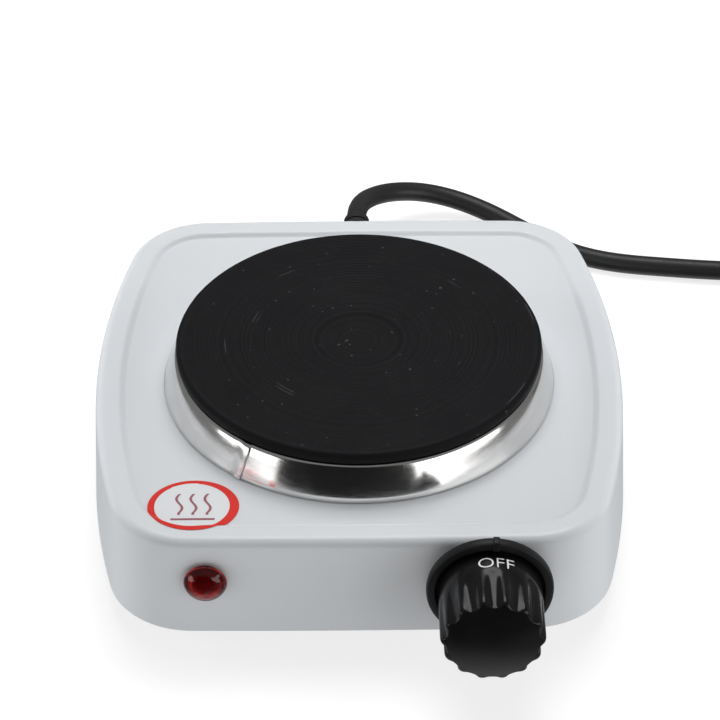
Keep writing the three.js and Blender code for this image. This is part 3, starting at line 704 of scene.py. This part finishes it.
def base_plate():
    """The bottom tray: its rim turns up inside the casing, and it is vented and embossed."""
    piece = casing_outline("base_tray", 0.5, 13)
    pull(0, 0, -4)
    pick(piece, lambda at: at.z < 9.1, "FACE")
    bpy.ops.mesh.region_to_loop()
    bpy.ops.mesh.bevel(offset=mm(0.7), segments=3)
    pick(piece, lambda at: at.z < 9.01, "FACE")
    step_in((17, 0), (0.6, -0.1), (0.8, -0.4), (0.8, -0.4), (0.6, -0.1))
    leave()
    modify(piece, "SOLIDIFY", thickness=mm(0.7), offset=-1, use_even_offset=True)
    for side in (-1, 1):
        for row in range(-2, 3):
            carve(piece, vent_slot(mm(VENT_X * side, SHIFT_Y + VENT_PITCH * row, 9.5)))
    fit(piece, "casing", "zinc_steel", ("base_plate",))


def vent_slot(place):
    """A cutter for one slot with round ends."""
    slot = begin(bpy.ops.mesh.primitive_cube_add, "slot_cutter", size=1,
                 location=place, scale=mm(26, 3.2, 6))
    bpy.ops.mesh.select_all(action="DESELECT")
    pick(slot, lambda at: abs(at.z - place.z / MM) < 1 and abs(at.x - place.x / MM) > 12, "EDGE")
    bpy.ops.mesh.bevel(offset=mm(1.55), segments=6)
    leave()
    return slot


def copies(piece, places):
    """The piece as it is, and a copy with its own mesh at each further place."""
    made = [piece]
    for place in places[1:]:
        copy = piece.copy()
        copy.data = piece.data.copy()
        bpy.context.collection.objects.link(copy)
        enter(copy)
        bpy.ops.mesh.select_all(action="SELECT")
        bpy.ops.transform.translate(value=place - places[0])
        leave()
        made.append(copy)
    return made


def feet():
    """Four turned rubber feet with a recess for the screw, and the four cross-head screws."""
    names = ("front_left", "front_right", "rear_left", "rear_right")
    places = [mm(x, SHIFT_Y + y, 0) for y in (-FOOT_Y, FOOT_Y) for x in (-FOOT_X, FOOT_X)]
    centre = places[0] / MM
    foot = lathe("foot", [(2.1, 5), (4.1, 5), (4.4, 4.7), (4.5, 0.6), (4.8, 0.1), (5.1, 0),
                          (6.1, 0), (6.6, 0.2), (6.9, 0.8), (7.3, 6), (7.5, 8.1), (7.3, 8.6),
                          (6.9, 8.7), (2.1, 8.7), (2.1, 5)], centre, steps=48)
    screw = lathe("foot_screw", [(0, 2.4), (2.2, 2.45), (3.0, 2.8), (3.4, 3.5), (3.5, 4.7),
                                 (1.75, 4.7), (1.75, 22.6), (1.2, 23), (0, 23)], centre, steps=32)
    for turn in (0, math.pi / 2):
        cross = begin(bpy.ops.mesh.primitive_cube_add, "cross_cutter", size=1,
                      location=mm(centre.x, centre.y, 2.7), rotation=(0, 0, turn),
                      scale=mm(3.6, 0.8, 2))
        leave()
        carve(screw, cross)
    for name, rubber, bolt in zip(names, copies(foot, places), copies(screw, places)):
        rubber.name, bolt.name = f"foot_rubber_{name}", f"foot_bolt_{name}"
        fit(rubber, "casing", "black_rubber", (f"foot_{name}",))
        fit(bolt, "casing", "zinc_steel", (f"foot_screw_{name}",))


# ------------------------------------------------------------------ plate and trim ring

def cast_plate():
    """The plate, turned with fine concentric grooves, with its dished middle and its skirt."""
    profile = [(0, 49.4), (10.6, 49.4), (11.3, 49.5), (11.8, 49.85), (12.4, 50)]
    radius = 13.5
    while radius < PLATE_RADIUS - 2:
        profile += [(radius, 50), (radius + 0.14, 49.94), (radius + 0.32, 49.94),
                    (radius + 0.46, 50)]
        radius += GROOVE_PITCH
    profile += [(48.9, 50), (49.35, 49.88), (49.75, 49.5), (50, 49), (50, 47.3), (49.8, 47),
                (49.5, 46.9), (45, 46.9), (45, 36), (42, 36), (42, 43.2), (13, 43.2),
                (13, 36), (3, 36), (3, 44.3), (0, 44.3)]
    plate = lathe("cast_plate", profile, Vector((0, PLATE_Y, 0)), steps=144)
    fit(plate, "casing", "cast_plate", ("heating_plate",), smooth=40)


def trim_ring():
    """A polished band under the plate, whose two ends lap along a slanting seam."""
    shoulder = [(45.6, 46.55), (49.4, 46.6), (49.9, 46.55), (50.25, 46.3), (50.5, 45.9)]
    rows = 6
    cone = [(50.9 + 2.9 * k / rows, 45 - RING_DROP * k / rows) for k in range(rows + 1)]
    lap = math.radians(2.6)
    seam = math.radians(-90 - RING_SEAM)
    ring = lathe("trim_band", shoulder + cone, Vector((0, PLATE_Y, 0)), steps=180,
                 turn=2 * math.pi + lap, start=seam)
    centre = mm(0, PLATE_Y, 40)

    def in_lap(at, first=0.3, last=3.0):
        """The last two columns of the end that laps over; from below 0, the other end's edge too."""
        turn = math.degrees(math.atan2(at.y - PLATE_Y, at.x) - seam) % 360
        return first < turn < last and not 1 < turn < 2.3

    enter(ring)
    pick(ring, in_lap)
    bpy.ops.transform.resize(value=(1.0098, 1.0098, 1), center_override=centre)
    for _, height in cone:
        share = (45 - height) / RING_DROP
        pick(ring, lambda at: abs(at.z - height) < 0.1 and in_lap(at, -0.1, 3.1))
        bpy.ops.transform.rotate(value=math.radians(SEAM_SLANT) * share, orient_axis="Z",
                                 center_override=centre)
    leave()
    modify(ring, "SOLIDIFY", thickness=mm(0.45), offset=-1, use_even_offset=True)
    modify(ring, "BEVEL", width=mm(0.12), segments=2, limit_method="ANGLE",
           angle_limit=math.radians(60))
    fit(ring, "casing", "polished_steel", ("trim_ring",), smooth=35)


# ------------------------------------------------------------------ knob

def knob():
    """A drum with fourteen scooped flutes and a domed face, smoothed from a coarse cage."""
    depth_inside, bore = 4.5, 10.6
    piece = begin(bpy.ops.mesh.primitive_circle_add, "knob_body", vertices=8 * RIB_COUNT,
                  radius=mm(bore), location=mm(KNOB_X, KNOB_REAR - depth_inside, CONTROL_Z),
                  rotation=(math.pi / 2, 0, 0), fill_type="NGON")
    bpy.ops.mesh.select_mode(type="EDGE")
    drum = KNOB_RADIUS
    # Each section: how far in front of the rear, the radius of its ribs, the depth of its flutes.
    sections = [
        (0.5, 10.7, 0), (0.1, 10.8, 0), (0, 11, 0), (0, 13, 0), (0.1, drum - 0.1, 0),
        (0.5, drum, 0), (6.5, drum, 0), (8.1, drum, 0), (8.8, drum, 0.15), (9.8, drum, 0.45),
        (11.8, drum, 0.75), (17.5, drum, 1.05), (19.2, drum, 1.35), (20.1, drum - 0.15, 1.4),
        (20.7, drum - 0.45, 1.15), (21.05, drum - 1, 0.6), (21.1, 11.9, 0), (21.2, 11.5, 0),
        (21.6, 9.9, 0), (22.1, 7.2, 0), (22.5, 4.2, 0), (22.7, 1.6, 0),
    ]
    here, size, sunk = KNOB_REAR - depth_inside, bore, 0
    for forward, radius, depth in sections:
        along = KNOB_REAR - forward
        pull_edges(0, along - here, 0)
        grow(radius / size)
        if depth or sunk:
            for column, share in FLUTE_SHAPE:
                pick(piece, in_section(along, column))
                grow((radius - depth * share) * size / ((size - sunk * share) * radius))
            pick(piece, in_section(along))
            bpy.ops.mesh.select_mode(type="EDGE")
        here, size, sunk = along, radius, depth
    bpy.ops.mesh.merge(type="CENTER")
    bpy.ops.mesh.select_all(action="SELECT")
    bpy.ops.mesh.normals_make_consistent(inside=False)
    leave()
    modify(piece, "SUBSURF", levels=1, render_levels=1)
    fit(piece, "knob_set", "black_plastic", ("knob",), smooth=60)
    lettering(piece)


def grow(factor):
    """Scales the selection about the knob's own axis."""
    bpy.ops.transform.resize(value=(factor, 1, factor), center_override=KNOB_AXIS * MM)


def in_section(along, column=None):
    """A test for the vertices of one section: all of them, or one column of each rib."""
    pitch = 2 * math.pi / RIB_COUNT

    def test(at):
        turn = math.atan2(at.x - KNOB_X, at.z - CONTROL_Z) / pitch
        found = round(8 * abs(turn % 1 - 0.5))
        return abs(at.y - along) < 0.02 and column in (None, found)

    return test


def lettering(drum):
    """The word OFF, printed on the top of the drum."""
    bpy.ops.object.select_all(action="DESELECT")
    bpy.ops.object.text_add(location=mm(KNOB_X + 1.05, KNOB_REAR - 6.1, CONTROL_Z + 15))
    text = bpy.context.object
    text.name = "off_print"
    text.data.body, text.data.align_x, text.data.size = "OFF", "CENTER", mm(5.1)
    text.data.align_y = "CENTER"
    text.data.offset = mm(-0.06)
    text.scale = (1.08, 1, 1)
    bpy.ops.object.convert(target="MESH")
    bpy.ops.object.transform_apply(location=True, rotation=True, scale=True)
    enter(text)
    bpy.ops.mesh.select_all(action="SELECT")
    bpy.ops.mesh.quads_convert_to_tris()
    bpy.ops.mesh.subdivide(number_cuts=3)
    leave()
    modify(text, "SHRINKWRAP", target=drum, wrap_method="PROJECT", use_project_z=True,
           use_negative_direction=True, use_positive_direction=False, offset=mm(0.05))
    modify(text, "SOLIDIFY", thickness=mm(0.08), offset=0)
    text.data.materials.clear()
    text.data.materials.append(FINISHES["white_print"])
    fit(text, "knob_set", "enamel")


def bezel():
    """The fixed ring behind the knob, with a pointer ridge at the top."""
    back = KNOB_REAR + 1.6
    front = back - BEZEL_DEPTH
    ring = BEZEL_RADIUS
    profile = [(4.9, back), (ring - 1.6, back), (ring - 0.4, back - 1.1), (ring - 0.08, back - 1.6),
               (ring, back - 2), (ring, front + 1), (ring - 0.1, front + 0.5),
               (ring - 0.35, front + 0.15), (ring - 0.8, front), (ring - 1.7, front + 0.03),
               (ring - 2.15, front + 0.15), (ring - 2.4, front + 0.45), (ring - 2.5, front + 1),
               (ring - 2.55, back - 1.2), (4.9, back - 1), (4.9, back)]
    piece = lathe("bezel_ring", profile, KNOB_AXIS, axis="Y")
    ridge = begin(bpy.ops.mesh.primitive_cube_add, "ridge", size=1,
                  location=mm(KNOB_X, front + 1, CONTROL_Z + ring - 0.7),
                  scale=mm(1.8, 2.8, 3))
    bpy.ops.transform.rotate(value=-BEZEL_TURN, orient_axis="Y", center_override=KNOB_AXIS * MM)
    bpy.ops.mesh.bevel(offset=mm(0.35), segments=3)
    leave()
    modify(piece, "BOOLEAN", object=ridge, operation="UNION", solver="EXACT")
    bpy.data.objects.remove(ridge)
    piece.data.materials.append(FINISHES["matt_plastic"])
    fit(piece, "casing", "black_plastic", ("knob_bezel",))


# ------------------------------------------------------------------ lamp

def lamp_lens():
    """A hollow red dome with a flange against the wall."""
    wall = SHIFT_Y - HALF_DEPTH - 0.9
    profile = [(0, wall - 3.8), (1.2, wall - 3.74), (2.4, wall - 3.5), (3.5, wall - 3.1),
               (4.5, wall - 2.4), (5.2, wall - 1.55), (5.6, wall - 0.7), (5.7, wall - 0.3),
               (5.65, wall - 0.1), (5.5, wall), (4.6, wall), (4.6, wall + 13.4),
               (3.7, wall + 13.4), (3.7, wall - 0.9), (2.9, wall - 1.7), (1.6, wall - 2.2),
               (0, wall - 2.4)]
    centre = Vector((LAMP_X, 0, CONTROL_Z))
    lens = lathe("lamp_lens", profile, centre, axis="Y", steps=64)
    fit(lens, "casing", "red_lens", ("indicator_lens",), smooth=50)
    facets = [(0, wall - 2.15), (1.5, wall - 1.75), (2.7, wall - 1.0), (3.4, wall + 0.2),
              (3.4, wall + 0.9), (0, wall + 0.9)]
    prism = lathe("lamp_prism", facets, centre, axis="Y", steps=9)
    prism.data.materials.append(FINISHES["red_prism"])
    fit(prism, "casing", "red_lens", smooth=5)


# ------------------------------------------------------------------ lead fittings and plug

def relief():
    """A tapered strain relief with a collar against the wall and ribs that let it bend."""
    end = RELIEF_END
    profile = [(0, 81.9), (5.7, 81.9), (5.7, 83.6), (4.6, 83.6), (4.6, 85.8), (6.7, 85.8),
               (7, 86.1), (7, 87), (6.7, 87.4), (5.9, 87.6)]
    along, radius = 88.6, 5.8
    while along < end - 5:
        profile += [(radius, along), (radius, along + 1.5), (radius - 0.2, along + 1.75),
                    (radius - 1.1, along + 1.9), (radius - 1.15, along + 2.6),
                    (radius - 0.35, along + 2.8)]
        along += 3.0
        radius -= 0.28
    profile += [(radius, along), (3.9, end - 0.5), (3.6, end), (0, end)]
    piece = lathe("strain_boot", profile, Vector((0, 0, CORD_EXIT_Z)), axis="Y", steps=48)
    fit(piece, "casing", "black_rubber", ("strain_relief",))


def tie():
    """A flat strap round the coil."""
    x, y = COIL_CENTRE[0] + COIL_RADIUS, COIL_CENTRE[1]
    strap = begin(bpy.ops.mesh.primitive_plane_add, "coil_tie", size=1,
                  location=mm(x, y - 2.5, 6.8), rotation=(math.pi / 2, 0, 0),
                  scale=mm(13.1, 13.1, 1))
    bpy.ops.mesh.bevel(offset=mm(2.6), segments=6, affect="VERTICES")
    bpy.ops.mesh.select_mode(type="FACE")
    bpy.ops.mesh.select_all(action="SELECT")
    pull(0, 5, 0)
    pick(strap, lambda at: abs(at.y - y) > 2.4, "FACE")
    bpy.ops.mesh.delete(type="ONLY_FACE")
    leave()
    close_up(strap)
    modify(strap, "SOLIDIFY", thickness=mm(0.5), offset=0, use_even_offset=True)
    modify(strap, "BEVEL", width=mm(0.15), segments=2, limit_method="ANGLE")
    return fit(strap, "casing", "black_rubber", ("cord_tie",))


def plug():
    """A moulded plug: body, shoulder, neck with grip ribs, two blades and an earth pin."""
    x, y, z = PLUG
    body = begin(bpy.ops.mesh.primitive_cube_add, "plug_moulding", size=1,
                 location=mm(x + 33.5, y, z), scale=mm(13, 25.2, 26))
    pick(body, lambda at: at.x < x + 28, "FACE")
    for back, share in ((7, 0.94), (2, 0.84), (6, 0.9), (2.5, 0.62)):
        pull(-back, 0, 0)
        bpy.ops.transform.resize(value=(1, share, share), center_override=mm(x, y, z))
    leave()
    modify(body, "BEVEL", width=mm(2.2), segments=5, limit_method="ANGLE",
           angle_limit=math.radians(25))
    neck = []
    for rib in range(4):
        along = x + 0.4 + 2.9 * rib
        radius = 3.7 + 0.28 * rib
        neck += [(radius, along), (radius, along + 1.6), (radius - 0.7, along + 1.9),
                 (radius - 0.7, along + 2.6)]
    boot = lathe_x("plug_boot", [(0, x), (3.3, x)] + neck + [(5, x + 12.4), (5, x + 13.6),
                                                            (0, x + 13.6)], y, z)
    modify(body, "BOOLEAN", object=boot, operation="UNION", solver="EXACT")
    bpy.data.objects.remove(boot)
    pieces = [fit(body, "casing", "cord_pvc", ("plug_body",))]
    for name, side in (("plug_blade_left", 1), ("plug_blade_right", -1)):
        blade = begin(bpy.ops.mesh.primitive_cube_add, name + "_metal", size=1,
                      location=mm(x + 48.8, y + side * 6.35, z - 5), scale=mm(17, 1.6, 6.4))
        pick(blade, lambda at: at.x > x + 57, "FACE")
        bpy.ops.mesh.bevel(offset=mm(0.5), segments=2)
        leave()
        drill(blade, mm(x + 54, y + side * 6.35, z - 5), 1.5)
        modify(blade, "BEVEL", width=mm(0.12), segments=2, limit_method="ANGLE")
        pieces.append(fit(blade, "casing", "brass", (name,)))
    pin = lathe_x("plug_earth", [(0, x + 40.3), (2.4, x + 40.3), (2.4, x + 57.5),
                                 (2.1, x + 59), (1.3, x + 60), (0, x + 60.3)], y, z + 6.9)
    pieces.append(fit(pin, "casing", "brass", ("plug_earth_pin",)))
    return pieces


def lathe_x(name, profile, y, z):
    """A turned piece whose axis lies along X: turned upright at the origin, then laid down."""
    piece = lathe(name, profile, Vector((0, 0, 0)), steps=40)
    enter(piece)
    bpy.ops.mesh.select_all(action="SELECT")
    bpy.ops.transform.rotate(value=-math.pi / 2, orient_axis="Y", center_override=(0, 0, 0))
    bpy.ops.transform.translate(value=mm(0, y, z))
    leave()
    return piece


# ------------------------------------------------------------------ sticker

def sticker(shell):
    """A round film by the lamp with an uneven red border and three rising wavy lines."""
    x, y = STICKER
    film = begin(bpy.ops.mesh.primitive_circle_add, "sticker", vertices=128, radius=mm(1),
                 location=mm(x, y, CASING_TOP + 3), fill_type="NGON", scale=(12, 10.5, 1))
    step_in(*[(0.3, 0)] * 6)
    bpy.ops.transform.resize(value=(0.966, 1.04, 1), center_override=mm(x, y, 0))
    bpy.ops.transform.translate(value=mm(-0.35, 0.15, 0))
    step_in(*[(0.85, 0)] * 9)
    film.data.materials.append(FINISHES["sticker_film"])
    film.data.materials.append(FINISHES["sticker_red"])
    pick(film, lambda at: ((at.x - x + 0.35) / 9.85) ** 2 + ((at.y - y - 0.15) / 9.05) ** 2 > 1,
         "FACE")
    film.active_material_index = 1
    bpy.ops.object.material_slot_assign()
    leave()
    modify(film, "SHRINKWRAP", target=shell, wrap_method="PROJECT", use_project_z=True,
           use_negative_direction=True, use_positive_direction=False, offset=mm(0.1))
    modify(film, "SOLIDIFY", thickness=mm(0.06), offset=0)
    fit(film, "casing", "enamel")
    heat_marks(x, y - 0.4)


def heat_marks(x, y):
    """Three rising wavy strokes over a bar, printed on the sticker: strips, row by row."""
    top = CASING_TOP - PANEL_STEP + 0.16
    width, rows, rise = 0.72, 14, 0.54
    marks = begin(bpy.ops.mesh.primitive_plane_add, "heat_marks", size=mm(width),
                  location=mm(x - 5.4, y - 4.6, top))
    pick(marks, lambda at: at.x > x - 5.4 + 0.3, "EDGE")
    pull_edges(10.8, 0, 0)
    sways = [0.8 * math.sin(2 * math.pi * row / rows) for row in range(rows + 1)]
    for column in (-3.7, 0, 3.7):
        bpy.ops.mesh.select_all(action="DESELECT")
        start = Vector((x + column, y - 2.5))
        bpy.ops.mesh.primitive_plane_add(size=mm(width), location=mm(*start, top))
        pick(marks, lambda at: abs(at.x - start.x) < 0.1 and abs(at.y - start.y - width / 2) < 0.1,
             "EDGE")
        for here, there in zip(sways, sways[1:]):
            pull_edges(there - here, rise, 0)
    leave()
    modify(marks, "SOLIDIFY", thickness=mm(0.05), offset=0)
    marks.data.materials.append(FINISHES["sticker_ink"])
    fit(marks, "casing", "red_lens")


# ------------------------------------------------------------------ the table

def table():
    """A plain white floor that gives a little light, like a lit studio sweep."""
    bpy.ops.object.select_all(action="DESELECT")
    bpy.ops.mesh.primitive_plane_add(size=8, location=(0, 0, 0))
    floor = bpy.context.object
    floor.name = "floor"
    floor.visible_glossy = False
    pale = Finish("pale_floor", (0.36, 0.36, 0.36), 0.7, specular_ior_level=0.1,
                  emission_color=(1, 1, 1, 1), emission_strength=0.76)
    pale.set("Base Color", pale.ramp(pale.noise(3), (0.3, 0.355), (0.7, 0.365)))
    floor.data.materials.append(pale.material)


def dress_frame():
    """Every CAD node takes the finish of its slot, whether or not a piece stands for it later."""
    for part in frame["record"]["subparts"]:
        node = frame["nodes"][part["node"]]
        node.data.materials.clear()
        node.data.materials.append(FINISHES[part["material_slot"]])


camera()
lead([tie(), *plug()])
lighting()
tent()
table()
dress_frame()
shell = casing()
sticker(shell)
base_plate()
feet()
cast_plate()
trim_ring()
knob()
bezel()
lamp_lens()
relief()
